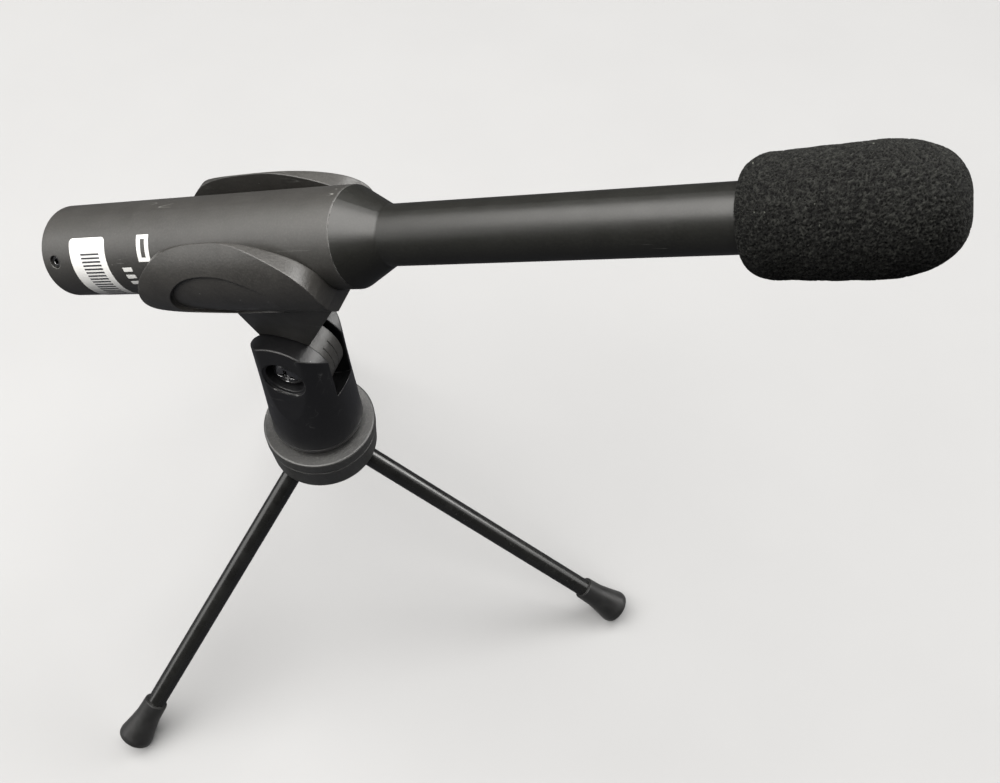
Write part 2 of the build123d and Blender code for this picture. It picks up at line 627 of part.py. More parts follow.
def label_corner(end_deg, side, x_edge, inward):
    """A small square at the label's corner less a disc, both standing on the barrel."""
    roll = math.degrees(LABEL_CORNER_R / BARREL_R)
    centre_roll = math.radians(end_deg + side * roll)
    outward = Vector(0, -math.sin(centre_roll), -math.cos(centre_roll))
    centre = Vector(x_edge + inward * LABEL_CORNER_R, 0, 0) + outward * BARREL_R
    spot = Plane(origin=centre - outward * 1.0, x_dir=Vector(1, 0, 0), z_dir=outward)
    disc = spot * extrude(Circle(LABEL_CORNER_R), amount=3)
    first, last = sorted((end_deg - side * 0.5, end_deg + side * roll))
    x0, x1 = sorted((x_edge - inward * 0.1, x_edge + inward * LABEL_CORNER_R))
    return wedge(first, last, x0, x1) - disc


def rating_label():
    """Paper label bent round the barrel, with rounded corners."""
    label = (band(LABEL_LIFT, LABEL_REAR, LABEL_FRONT)
             & wedge(LABEL_LOW, LABEL_TOP, LABEL_REAR - 1, LABEL_FRONT + 1))
    corners = Part()
    for end_deg, side in ((LABEL_LOW, 1), (LABEL_TOP, -1)):
        for x_edge, inward in ((LABEL_REAR, 1), (LABEL_FRONT, -1)):
            corners += label_corner(end_deg, side, x_edge, inward)
    return label - corners


def printed_mark():
    """A four-sided frame and three bars."""
    frame = band(PRINT_LIFT, -31.0, -24.0) & wedge(116, 148, -29.3, -25.6)
    frame -= wedge(121, 143, -28.1, -26.8)
    bars = [band(PRINT_LIFT, -35.2, -32.4) & wedge(low, low + 5.5, -35.2, -32.4)
            for low in (84, 94, 104)]
    return group([frame] + bars)


# ---------------------------------------------------------------------------
# write every piece
# ---------------------------------------------------------------------------
stand_pieces = {
    "hub_top_disc": hub_top_disc(),
    "hub_lower_disc": hub_lower_disc(),
    "hub_stud": hub_stud(),
    "hub_clamp_screw": hub_clamp_screw(),
    "leg_pins": group([leg_pin(azimuth, side) for azimuth, side in LEGS]),
    "thread_reducer": thread_reducer(),
    "swivel_adapter": swivel_adapter(),
    "pivot_nut": pivot_nut(),
    "friction_washer": friction_washer(),
    "pivot_screw": pivot_screw(),
    "mic_clip": mic_clip(),
}
for letter, (azimuth, _) in zip("abc", LEGS):
    stand_pieces["leg_rod_" + letter] = leg_rod(azimuth)
    stand_pieces["rubber_foot_" + letter] = rubber_foot(azimuth)

leads = [capsule_lead(y) for y in (-1.3, 1.3)]
mic_pieces = {
    "mic_barrel": mic_barrel(),
    "front_tube": front_tube(),
    "rear_cap": rear_cap(),
    "set_screw": set_screw(),
    "usb_socket": usb_socket(),
    "circuit_board": circuit_board(),
    "board_chips": group([on_board(*chip) for chip in CHIPS]),
    "board_capacitors": board_capacitors(),
    "shield_can": shield_can(),
    "board_rails": board_rail(-1) + board_rail(1),
    "mic_capsule": mic_capsule(),
    "capsule_sleeve": capsule_sleeve(),
    "capsule_dust_cloth": capsule_dust_cloth(),
    "grille_cap": grille_cap(),
    "capsule_leads": leads[0] + leads[1],
    "lead_seal": lead_seal(leads),
    "barrel_o_ring": barrel_o_ring(),
    "rating_label": rating_label(),
    "printed_mark": printed_mark(),
    "foam_windscreen": foam_windscreen(),
}

for name, piece in stand_pieces.items():
    save(piece, name)
for name, piece in mic_pieces.items():
    save(MIC * piece, name)
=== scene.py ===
"""Looks for a small USB microphone on a three-legged table stand.

The microphone points along MIC_AXIS, and its label is on the side facing -Y. Each CAD piece
gets a procedural material, and the foam windscreen is rebuilt with real open cells.
"""
import json
import math

import bpy
import numpy as np
from mathutils import Matrix, Vector, kdtree


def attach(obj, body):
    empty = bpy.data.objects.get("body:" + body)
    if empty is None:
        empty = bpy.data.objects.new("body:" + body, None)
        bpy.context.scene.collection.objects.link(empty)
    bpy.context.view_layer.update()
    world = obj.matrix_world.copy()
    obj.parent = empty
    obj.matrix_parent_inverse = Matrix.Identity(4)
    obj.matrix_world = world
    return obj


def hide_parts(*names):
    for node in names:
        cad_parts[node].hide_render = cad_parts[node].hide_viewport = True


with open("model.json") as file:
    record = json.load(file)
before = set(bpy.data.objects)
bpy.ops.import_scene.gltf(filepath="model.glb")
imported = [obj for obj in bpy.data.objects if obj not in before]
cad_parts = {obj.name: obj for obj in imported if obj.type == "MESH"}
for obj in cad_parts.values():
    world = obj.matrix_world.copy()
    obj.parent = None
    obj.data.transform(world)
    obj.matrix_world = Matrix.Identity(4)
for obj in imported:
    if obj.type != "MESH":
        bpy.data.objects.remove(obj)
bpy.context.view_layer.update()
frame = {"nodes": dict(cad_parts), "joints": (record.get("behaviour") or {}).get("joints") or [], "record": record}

MM = 0.001
scene = bpy.context.scene

# ---------------------------------------------------------------------------
# directions of the microphone
# ---------------------------------------------------------------------------
SOCKET_TO_STAND = 0.060
joints = {joint["name"]: joint for joint in frame["joints"]}
mounts = {mount["name"]: mount for mount in frame["record"]["mounts"]}
MIC_AXIS = Vector(joints["mic_slide"]["axis"]).normalized()      # towards the front
LABEL_SIDE = Vector((0, -1, 0))
MIC_TOP = LABEL_SIDE.cross(MIC_AXIS).normalized()
if MIC_TOP.z < 0:
    MIC_TOP = -MIC_TOP
# the point of the microphone's axis over the stand
MIC_ORIGIN = Vector(mounts["usb_c_mouth"]["pos_m"]) + MIC_AXIS * SOCKET_TO_STAND


# ---------------------------------------------------------------------------
# node materials
# ---------------------------------------------------------------------------
def scaled(colour, factor):
    """The colour made darker or lighter, up to white."""
    return tuple(min(1.0, channel * factor) for channel in colour)


class Graph:
    """One node material. Every "mm" is the size of a pattern in millimetres."""

    def __init__(self, name):
        self.mat = bpy.data.materials.new(name)
        self.mat.use_nodes = True
        self.tree = self.mat.node_tree
        self.tree.nodes.clear()
        self.out = self.add("OutputMaterial")
        self.bsdf = self.add("BsdfPrincipled")
        self.put(self.out.inputs[0], self.bsdf.outputs[0])
        self.pos = self.add("TexCoord").outputs["Object"]
        self.normal = None

    def put(self, socket, value):
        """Links a socket, or sets a value; a colour of three gets an alpha of one."""
        if isinstance(value, bpy.types.NodeSocket):
            self.tree.links.new(value, socket)
            return
        if socket.type == "RGBA" and len(value) == 3:
            value = (*value, 1.0)
        socket.default_value = value

    def add(self, kind, inputs=None, **settings):
        node = self.tree.nodes.new("ShaderNode" + kind)
        for key, value in settings.items():
            setattr(node, key, value)
        for key, value in (inputs or {}).items():
            self.put(node.inputs[key], value)
        return node

    def set(self, **values):
        """Inputs of the Principled shader, with underscores for spaces."""
        for key, value in values.items():
            self.put(self.bsdf.inputs[key.replace("_", " ")], value)

    def math(self, operation, *values, clamp=False):
        node = self.add("Math", dict(enumerate(values)), operation=operation, use_clamp=clamp)
        return node.outputs[0]

    def times(self, a, b):
        return self.math("MULTIPLY", a, b)

    def dot(self, vector, direction):
        node = self.add("VectorMath", {0: vector, 1: direction}, operation="DOT_PRODUCT")
        return node.outputs["Value"]

    def mapped(self, offset=(0, 0, 0), scale=(1, 1, 1), turn=(0, 0, 0), vector=None):
        """A vector moved, turned and stretched, so that patterns differ or run one way."""
        inputs = {"Vector": vector or self.pos, "Location": offset, "Rotation": turn,
                  "Scale": scale}
        return self.add("Mapping", inputs).outputs[0]

    def mic_space(self, axis_scale=1.0):
        """Position from MIC_ORIGIN: along the axis, to the label side, to the top."""
        away = self.add("VectorMath", {0: self.pos, 1: MIC_ORIGIN}, operation="SUBTRACT")
        combined = self.add("CombineXYZ")
        for i, direction in enumerate((MIC_AXIS * axis_scale, LABEL_SIDE, MIC_TOP)):
            self.put(combined.inputs[i], self.dot(away.outputs[0], direction))
        return combined.outputs[0]

    def split(self, vector):
        return self.add("SeparateXYZ", {0: vector}).outputs

    def noise(self, mm, detail=3.0, rough=0.6, vector=None, warp=0.0):
        inputs = {"Vector": vector or self.pos, "Scale": 1.0 / (mm * MM), "Detail": detail,
                  "Roughness": rough, "Distortion": warp}
        return self.add("TexNoise", inputs).outputs["Fac"]

    def cells(self, mm, feature="F1", vector=None, smooth=None, jitter=1.0):
        inputs = {"Vector": vector or self.pos, "Scale": 1.0 / (mm * MM), "Randomness": jitter}
        if smooth is not None:
            inputs["Smoothness"] = smooth
        return self.add("TexVoronoi", inputs, feature=feature).outputs

    def step(self, value, lo=0.3, hi=0.7, to=(0.0, 1.0)):
        """Smooth step from lo to hi; the defaults spread a noise over its usual range."""
        inputs = {"Value": value, "From Min": lo, "From Max": hi, "To Min": to[0],
                  "To Max": to[1]}
        node = self.add("MapRange", inputs, interpolation_type="SMOOTHSTEP", clamp=True)
        return node.outputs["Result"]

    def mix(self, factor, a, b):
        # the colour sockets of a Mix node are inputs 6 and 7 and output 2
        return self.add("Mix", {0: factor, 6: a, 7: b}, data_type="RGBA").outputs[2]

    def cover(self, base, mask, colour, share):
        """Lays a colour over the base where the mask is, at most to the given share."""
        return self.mix(self.times(mask, share), base, colour)

    def mottle(self, cloud, colour, dark, light):
        return self.mix(self.step(cloud), scaled(colour, dark), scaled(colour, light))

    def bump(self, height, depth_mm, strength):
        """Adds relief on top of the normal so far."""
        inputs = {"Height": height, "Distance": depth_mm * MM, "Strength": strength}
        if self.normal is not None:
            inputs["Normal"] = self.normal
        self.normal = self.add("Bump", inputs).outputs[0]
        self.set(Normal=self.normal)

    def edge(self, radius_mm):
        """1 on sharp edges, 0 on open faces. The rounded normal also starts the relief."""
        bevel = self.add("Bevel", {"Radius": radius_mm * MM}, samples=6)
        self.normal = bevel.outputs[0]
        flat_normal = self.add("NewGeometry").outputs["Normal"]
        bend = self.math("SUBTRACT", 1.0, self.dot(self.normal, flat_normal))
        return self.step(bend, lo=0.02, hi=0.25)

    def noisy_edge(self, radius_mm, mm, lo, hi):
        """Edges broken up by a noise."""
        return self.times(self.edge(radius_mm), self.step(self.noise(mm, rough=0.7), lo, hi))

    def specks(self, mm, radius, share, offset):
        """Sparse round specks: a share of the cells holds one each, radius in cell sizes."""
        cells = self.cells(mm, vector=self.mapped(offset))
        pick = self.step(self.split(cells["Color"])[0], lo=1 - share, hi=1 - share + 0.005)
        size = self.math("MULTIPLY_ADD", self.split(cells["Color"])[1], radius * 0.7,
                         radius * 0.3)
        depth = self.math("SUBTRACT", size, cells["Distance"])
        return self.times(self.step(depth, lo=-0.01, hi=0.03), pick)

    def scratches(self, stretched, mm, width, cover):
        """Hairlines: thin level lines of a stretched noise, in patches above cover."""
        line = self.noise(mm, detail=1.0, rough=0.4, vector=stretched, warp=0.6)
        line = self.math("ABSOLUTE", self.math("SUBTRACT", line, 0.5))
        line = self.step(line, lo=0.0, hi=width, to=(1.0, 0.0))
        patch = self.noise(mm=9.0, detail=2.0, vector=self.mapped((0.31, 0.17, 0.05)))
        return self.times(line, self.step(patch, lo=cover, hi=cover + 0.05))


def coating(name, colour, rough, grain_mm=0.45, grain_depth=0.018, dust=0.05, edge_lightening=0.35,
            metallic=0.0, spec=0.5, speckle=0.0):
    """Matte coating on metal: grain, cloudy tone, dust, hairline scratches, and lighter edges that are partly worn
    coating and partly a painted highlight on the rims.
    """
    g = Graph(name)
    cloud = g.noise(mm=9.0, detail=4.0)
    fine = g.noise(grain_mm, detail=4.0, rough=0.7)
    base = g.mottle(cloud, colour, dark=0.88, light=1.12)
    base = g.mix(g.step(fine, lo=0.40, hi=0.70, to=(0.0, 0.55)), base, scaled(colour, 1.9))
    if speckle:
        flecks = g.noise(mm=0.55, detail=4.0, rough=0.8, vector=g.mapped((0.07, 0.01, 0.03)))
        flecks = g.step(flecks, lo=0.50, hi=0.72)
        base = g.cover(base, flecks, (0.17, 0.17, 0.165), share=speckle)
    # lighter edges: partly worn coating and partly a painted highlight, standing in for the glints on the rims'
    # chamfers
    edge = g.noisy_edge(radius_mm=0.30, mm=1.8, lo=0.35, hi=0.6)
    base = g.cover(base, edge, (0.42, 0.42, 0.41), share=edge_lightening)
    stretched = g.mapped(scale=(0.10, 1.0, 1.0), turn=(0.0, 0.5, 0.55), vector=g.mic_space())
    hair = g.scratches(stretched, mm=3.2, width=0.004, cover=0.63)
    specks = g.specks(mm=1.5, radius=0.17, share=dust, offset=(0.013, 0.007, 0.019))
    light = g.math("MAXIMUM", g.times(hair, 0.30), g.times(specks, 0.40))
    base = g.mix(light, base, (0.62, 0.62, 0.58))
    smear = g.noise(mm=4.5, vector=g.mapped((0.2, 0.4, 0.1)))
    shine = g.step(smear, lo=0.25, hi=0.75, to=(rough - 0.02, rough + 0.035))
    g.set(Base_Color=base, Metallic=metallic, Specular_IOR_Level=spec, Coat_Roughness=rough,
          Roughness=g.math("ADD", shine, g.times(light, 0.25), clamp=True))
    g.bump(fine, depth_mm=grain_depth, strength=0.8)
    g.bump(g.noise(grain_mm * 0.4, detail=2.0), depth_mm=grain_depth * 0.4, strength=0.5)
    return g.mat


def moulded(name, colour, rough, grain_mm=0.55, grain_depth=0.016, edge_lightening=0.25, spec=0.45):
    """Spark-eroded moulded plastic: shallow round pits, rubbed edges, dust and scuffs."""
    g = Graph(name)
    pits = g.cells(grain_mm, "SMOOTH_F1", smooth=0.6)["Distance"]
    fine = g.noise(grain_mm * 0.7, detail=4.0, rough=0.65)
    cloud = g.noise(mm=7.0, detail=4.0)
    base = g.mottle(cloud, colour, dark=0.86, light=1.16)
    base = g.mix(g.step(fine, lo=0.42, hi=0.70, to=(0.0, 0.5)), base, scaled(colour, 2.1))
    edge = g.noisy_edge(radius_mm=0.35, mm=1.5, lo=0.3, hi=0.65)
    base = g.cover(base, edge, (0.25, 0.25, 0.25), share=edge_lightening)
    stretched = g.mapped((0.05, 0.1, 0.2), scale=(0.3, 1.0, 0.8))
    hair = g.scratches(stretched, mm=3.5, width=0.008, cover=0.56)
    specks = g.specks(mm=1.3, radius=0.14, share=0.05, offset=(0.021, 0.002, 0.011))
    light = g.math("MAXIMUM", g.times(hair, 0.18), g.times(specks, 0.5))
    base = g.mix(light, base, (0.40, 0.40, 0.39))
    smear = g.noise(mm=5.5, vector=g.mapped((0.3, 0.1, 0.4)))
    shine = g.step(smear, lo=0.25, hi=0.75, to=(rough - 0.03, rough + 0.05))
    g.set(Base_Color=base, Specular_IOR_Level=spec,
          Roughness=g.math("SUBTRACT", shine, g.times(edge, 0.12), clamp=True))
    g.bump(pits, depth_mm=grain_depth, strength=0.6)
    g.bump(fine, depth_mm=grain_depth * 0.8, strength=0.6)
    return g.mat


def lacquer(name, colour, rough):
    """Gloss lacquer on a drawn rod: a clear coat with faint orange peel, and rubs."""
    g = Graph(name)
    peel = g.noise(mm=1.1, detail=2.0, rough=0.5)
    base = g.mottle(g.noise(mm=12.0), colour, dark=0.8, light=1.3)
    rub = g.times(g.step(g.noise(mm=2.2, detail=4.0, rough=0.75), lo=0.60, hi=0.72),
                  g.step(g.noise(mm=16.0, detail=2.0, rough=0.5), lo=0.45, hi=0.65))
    base = g.cover(base, rub, (0.10, 0.10, 0.095), share=0.30)
    specks = g.specks(mm=1.6, radius=0.12, share=0.06, offset=(0.003, 0.017, 0.009))
    base = g.cover(base, specks, (0.5, 0.5, 0.48), share=0.55)
    shine = g.step(g.noise(mm=3.0), to=(rough - 0.04, rough + 0.06))
    g.set(Base_Color=base, Specular_IOR_Level=0.55, Coat_Weight=0.55, Coat_Roughness=0.16,
          Roughness=g.math("ADD", shine, g.times(rub, 0.18), clamp=True))
    g.bump(peel, depth_mm=0.010, strength=0.45)
    g.bump(g.noise(mm=0.3, detail=2.0), depth_mm=0.003, strength=0.35)
    return g.mat


def rubber(name, colour, rough):
    """Moulded rubber: soft sheen, fine pimples, rubbed edges and dust near the table."""
    g = Graph(name)
    fine = g.noise(mm=0.35, detail=4.0, rough=0.7)
    cloud = g.noise(mm=3.5, detail=4.0, rough=0.65)
    base = g.mottle(cloud, colour, dark=0.8, light=1.35)
    edge = g.noisy_edge(radius_mm=0.30, mm=1.2, lo=0.3, hi=0.6)
    base = g.cover(base, edge, (0.26, 0.26, 0.25), share=0.30)
    low = g.step(g.split(g.pos)[2], lo=0.0, hi=0.006, to=(1.0, 0.0))
    dust = g.step(g.noise(mm=1.4, detail=4.0, rough=0.7), lo=0.45, hi=0.75)
    base = g.cover(base, g.times(low, dust), (0.30, 0.29, 0.27), share=0.40)
    g.set(Base_Color=base, Specular_IOR_Level=0.4, Sheen_Weight=0.12, Sheen_Roughness=0.5,
          Roughness=g.step(cloud, lo=0.25, hi=0.75, to=(rough - 0.07, rough + 0.10)))
    g.bump(fine, depth_mm=0.018, strength=0.7)
    g.bump(cloud, depth_mm=0.05, strength=0.25)
    return g.mat


def steel(name, colour, rough, tarnish=(0.10, 0.09, 0.08), grain=0.2, dirt=0.35):
    """Plated or bare metal: fine tool marks drawn out along Z, cloudy tarnish, bright edges."""
    g = Graph(name)
    marks = g.noise(mm=0.5, detail=4.0, rough=0.7, vector=g.mapped(scale=(1.0, 1.0, 0.15)))
    cloud = g.noise(mm=2.2, detail=4.0, rough=0.65)
    base = g.mix(g.step(cloud, lo=0.45, hi=0.72, to=(0.0, dirt)), colour, tarnish)
    base = g.mix(g.step(marks, to=(0.0, grain)), base, scaled(colour, 1.5))
    base = g.cover(base, g.edge(radius_mm=0.20), (0.72, 0.72, 0.73), share=0.5)
    g.set(Base_Color=base, Metallic=1.0, Anisotropic=0.3,
          Roughness=g.step(marks, lo=0.25, hi=0.75, to=(rough - 0.06, rough + 0.10)))
    g.bump(marks, depth_mm=0.006, strength=0.6)
    return g.mat


def board(name):
    """Green solder mask with copper tracks showing through it, and tinned pads."""
    g = Graph(name)
    flat = g.mic_space()
    grid = g.cells(mm=2.4, feature="DISTANCE_TO_EDGE", vector=flat, jitter=0.65)["Distance"]
    track = g.step(grid, lo=0.05, hi=0.08, to=(1.0, 0.0))
    dots = g.cells(mm=1.9, vector=flat, jitter=0.35)["Distance"]
    pad = g.step(dots, lo=0.13, hi=0.16, to=(1.0, 0.0))
    weave = g.noise(mm=0.5, detail=2.0, rough=0.5)
    base = g.mix(g.step(weave), (0.012, 0.085, 0.030), (0.018, 0.120, 0.042))
    base = g.cover(base, track, (0.045, 0.24, 0.075), share=0.7)
    base = g.mix(pad, base, (0.62, 0.60, 0.52))
    g.set(Base_Color=base, Metallic=g.times(pad, 0.9), Coat_Weight=0.35, Coat_Roughness=0.15,
          Roughness=g.step(weave, to=(0.28, 0.42)))
    g.bump(g.math("ADD", track, g.times(pad, 0.6)), depth_mm=0.03, strength=0.7)
    return g.mat


def cloth(name, colour):
    """Fine woven cloth: two crossed sets of threads."""
    thread_pitch = 0.28 * MM
    g = Graph(name)
    parts = g.split(g.mic_space())
    across, upward = (g.math("SINE", g.times(parts[i], 2 * math.pi / thread_pitch))
                      for i in (1, 2))
    weave = g.times(across, upward)
    base = g.mix(g.step(weave, lo=-0.8, hi=0.8), scaled(colour, 0.5), scaled(colour, 1.8))
    lint = g.step(g.noise(mm=0.8), lo=0.5, hi=0.8, to=(0.0, 0.4))
    base = g.mix(lint, base, scaled(colour, 2.6))
    g.set(Base_Color=base, Sheen_Weight=0.35, Sheen_Roughness=0.4,
          Roughness=g.step(weave, lo=-1, hi=1, to=(0.75, 0.95)))
    g.bump(weave, depth_mm=0.03, strength=0.7)
    return g.mat


def label_paper(name):
    """White laminated paper with a plain run of even dark stripes in its middle."""
    first_stripe_deg = 36.0    # round the axis, from straight below towards the label side
    half_pitch_deg = 2.35
    g = Graph(name)
    parts = g.split(g.mic_space())
    turn = g.math("ARCTAN2", parts[1], g.times(parts[2], -1.0))
    angle = g.times(turn, 180.0 / math.pi)
    along_mm = g.times(parts[0], 1000.0)
    # soft-edged windows, in mm along the axis and in degrees round it
    window_along = g.times(g.step(along_mm, lo=-47.55, hi=-47.45),
                           g.step(along_mm, lo=-41.55, hi=-41.45, to=(1.0, 0.0)))
    window_round = g.times(g.step(angle, lo=first_stripe_deg - 0.4, hi=first_stripe_deg),
                           g.step(angle, lo=130.0, hi=130.4, to=(1.0, 0.0)))
    within = g.times(window_along, window_round)
    wave = g.math("PINGPONG", g.math("SUBTRACT", angle, first_stripe_deg), half_pitch_deg)
    stripe = g.times(g.step(wave, lo=1.05, hi=1.30), within)
    strength = g.step(g.noise(mm=0.35, rough=0.7), lo=0.25, hi=0.45, to=(0.82, 1.0))
    stripe_ink = g.times(stripe, strength)
    fibre = g.noise(mm=0.4, detail=5.0, rough=0.7, vector=g.mic_space(axis_scale=0.35))
    paper = g.mix(g.step(fibre), (0.70, 0.70, 0.682), (0.76, 0.76, 0.745))
    grime = g.step(g.noise(mm=2.4, detail=4.0, rough=0.7), lo=0.55, hi=0.8)
    paper = g.cover(paper, grime, (0.50, 0.485, 0.445), share=0.25)
    g.set(Base_Color=g.mix(stripe_ink, paper, (0.035, 0.035, 0.040)), Specular_IOR_Level=0.35,
          Coat_Weight=0.04, Coat_Roughness=0.25, Roughness=g.step(fibre, to=(0.38, 0.52)))
    g.bump(fibre, depth_mm=0.010, strength=0.5)
    return g.mat


def print_ink(name):
    """White pad-printed ink: slightly thin in places, so the coating shows."""
    g = Graph(name)
    thin = g.step(g.noise(mm=0.30, detail=4.0, rough=0.75), lo=0.60, hi=0.78)
    base = g.cover((0.66, 0.66, 0.645), thin, (0.22, 0.22, 0.213), share=0.45)
    g.set(Base_Color=base, Roughness=g.step(g.noise(mm=0.6), to=(0.42, 0.58)))
    g.bump(g.noise(mm=0.25, rough=0.7), depth_mm=0.008, strength=0.6)
    return g.mat


def open_foam(name):
    """Open-cell foam: near-black pores, which are painted shade inside the cells, paler struts between them, a few
    bright specks of dust.

    The mesh attribute "strut" tells the modelled struts; a finer web is drawn inside the pores.
    """
    g = Graph(name)
    strut = g.add("Attribute", attribute_name="strut").outputs["Fac"]
    small = g.cells(mm=0.42, feature="DISTANCE_TO_EDGE")["Distance"]
    web = g.step(small, lo=0.04, hi=0.16, to=(1.0, 0.0))
    solid = g.math("MAXIMUM", g.times(strut, 0.85), g.times(web, 0.55))
    cloud = g.noise(mm=5.0, detail=4.0)
    # painted shade: the near-black pore colour stands for the shade inside the open cells
    pore = g.mix(g.step(cloud), (0.0008, 0.0008, 0.0008), (0.0016, 0.0016, 0.0015))
    glint = g.step(g.noise(mm=0.75, detail=4.0, rough=0.75), lo=0.38, hi=0.68)
    pale = g.mix(glint, (0.0015, 0.0016, 0.0014), (0.034, 0.035, 0.031))
    base = g.mix(solid, pore, pale)
    specks = g.specks(mm=0.80, radius=0.22, share=0.035, offset=(0.008, 0.015, 0.023))
    base = g.cover(base, specks, (0.20, 0.21, 0.18), share=0.55)
    g.set(Base_Color=base, Specular_IOR_Level=0.12, Sheen_Weight=0.02, Sheen_Roughness=0.6,
          Roughness=g.step(solid, lo=0.0, hi=1.0, to=(0.95, 0.70)))
    g.bump(web, depth_mm=0.10, strength=0.8)
    g.bump(g.noise(mm=0.22, rough=0.7), depth_mm=0.06, strength=0.6)
    return g.mat


# ---------------------------------------------------------------------------
# materials go on the CAD pieces
# ---------------------------------------------------------------------------
# piece names, and the material they share
LOOK_TABLE = [
    ("mic_barrel",
     coating("barrel_coating_look", (0.0245, 0.0235, 0.0215), rough=0.45, spec=0.8,
             grain_depth=0.030, speckle=0.05)),
    # the strong edge setting on the tube paints light lines on the tube's and cone's rims, partly as wear and
    # partly as a painted highlight
    ("front_tube grille_cap",
     coating("tube_coating_look", (0.010, 0.010, 0.0088), rough=0.37, edge_lightening=0.50, dust=0.0)),
    ("hub_top_disc hub_lower_disc",
     coating("hub_coating_look", (0.028, 0.028, 0.027), rough=0.42, spec=1.0, grain_mm=0.42,
             grain_depth=0.085, edge_lightening=0.40, speckle=0.45)),
    ("thread_reducer",
     coating("reducer_look", (0.030, 0.030, 0.030), rough=0.34, grain_mm=0.35, edge_lightening=0.6,
             metallic=0.2)),
    ("rear_cap", coating("cap_coating_look", (0.028, 0.028, 0.028), rough=0.46, edge_lightening=0.4)),
    ("mic_clip",
     moulded("clip_plastic_look", (0.027, 0.0257, 0.0236), rough=0.38, spec=0.72,
             grain_depth=0.028)),
    ("swivel_adapter",
     moulded("adapter_plastic_look", (0.0045, 0.0045, 0.0052), rough=0.38, spec=0.8,
             edge_lightening=0.22, grain_depth=0.024)),
    ("board_rails", moulded("rail_plastic_look", (0.06, 0.06, 0.06), rough=0.5)),
    ("board_chips", moulded("chip_look", (0.022, 0.022, 0.023), rough=0.45, grain_mm=0.3)),
    ("friction_washer",
     moulded("washer_fibre_look", (0.085, 0.078, 0.065), rough=0.7, grain_mm=0.7, spec=0.2)),
    ("capsule_leads",
     moulded("lead_insulation_look", (0.38, 0.035, 0.025), rough=0.4, grain_mm=0.8)),
    ("leg_rod_a leg_rod_b leg_rod_c",
     lacquer("leg_lacquer_look", (0.008, 0.008, 0.0075), rough=0.26)),
    ("rubber_foot_a rubber_foot_b rubber_foot_c",
     rubber("foot_rubber_look", (0.006, 0.006, 0.006), rough=0.42)),
    ("capsule_sleeve lead_seal barrel_o_ring",
     rubber("sleeve_rubber_look", (0.025, 0.025, 0.025), rough=0.65)),
    ("hub_clamp_screw pivot_screw",
     steel("screw_steel_look", (0.24, 0.24, 0.245), rough=0.23, tarnish=(0.03, 0.03, 0.03))),
    ("set_screw",
     steel("set_screw_look", (0.085, 0.085, 0.088), rough=0.34, tarnish=(0.02, 0.02, 0.02))),
    ("hub_stud leg_pins pivot_nut",
     steel("plain_steel_look", (0.52, 0.52, 0.53), rough=0.30)),
    ("usb_socket", steel("socket_steel_look", (0.62, 0.62, 0.63), rough=0.22, grain=0.35)),
    ("shield_can",
     steel("shield_tin_look", (0.66, 0.66, 0.66), rough=0.28, grain=0.3, dirt=0.2)),
    ("board_capacitors",
     steel("can_aluminium_look", (0.70, 0.71, 0.72), rough=0.24, grain=0.4, dirt=0.15)),
    ("mic_capsule", steel("capsule_alloy_look", (0.60, 0.59, 0.56), rough=0.26)),
    ("circuit_board", board("board_look")),
    ("capsule_dust_cloth", cloth("dust_cloth_look", (0.018, 0.018, 0.018))),
    ("rating_label", label_paper("label_look")),
    ("printed_mark", print_ink("print_look")),
    ("foam_windscreen", open_foam("foam_look")),
]
LOOKS = {piece: material for pieces, material in LOOK_TABLE for piece in pieces.split()}

for name, piece in frame["nodes"].items():
    if not piece.material_slots:
        piece.data.materials.append(LOOKS[name])
    for slot in piece.material_slots:
        slot.link = "OBJECT"
        slot.material = LOOKS[name]


# ---------------------------------------------------------------------------
# foam windscreen: a soft turned form with real open cells cut into its skin
#
# It is built in mm from MIC_ORIGIN, as (along the axis, to the top, to the label side).
# ---------------------------------------------------------------------------
FOAM_RADIUS = 11.28
FOAM_CAP = 16.5          # length of the blunt front end
FOAM_BLUNTNESS = 2.75    # exponent of its superellipse; 2 would be an ellipse
FOAM_PITCH = 0.21    # between skin points round a ring
BORE_GAP = 0.01          # the bore is this much wider in radius than the CAD's
PORE_SPACING = 0.56


def foam_extent():
    """Rear, tip, bore radius and place of the bore's floor, measured on the CAD solid."""
    mesh = frame["nodes"]["foam_windscreen"].data
    places = np.zeros(len(mesh.vertices) * 3, np.float32)
    mesh.vertices.foreach_get("co", places)
    away = places.reshape(-1, 3).astype(float) - np.array(MIC_ORIGIN)
    along, top, side = (away @ np.array(d) / MM for d in (MIC_AXIS, MIC_TOP, LABEL_SIDE))
    radius = np.hypot(top, side)
    rear, tip = along.min(), along.max()
    bore = radius[along < rear + 0.2].min()
    inner = along[radius < bore + 0.05]
    return rear, tip, bore, inner[inner < tip - 2].max()


def arc_length(along, radius):
    return np.concatenate([[0], np.cumsum(np.hypot(np.diff(along), np.diff(radius)))])


def resample(along, radius, count):
    """The same line with evenly spaced points."""
    travel = arc_length(along, radius)
    even = np.linspace(0, travel[-1], count)
    return np.interp(even, travel, along), np.interp(even, travel, radius)


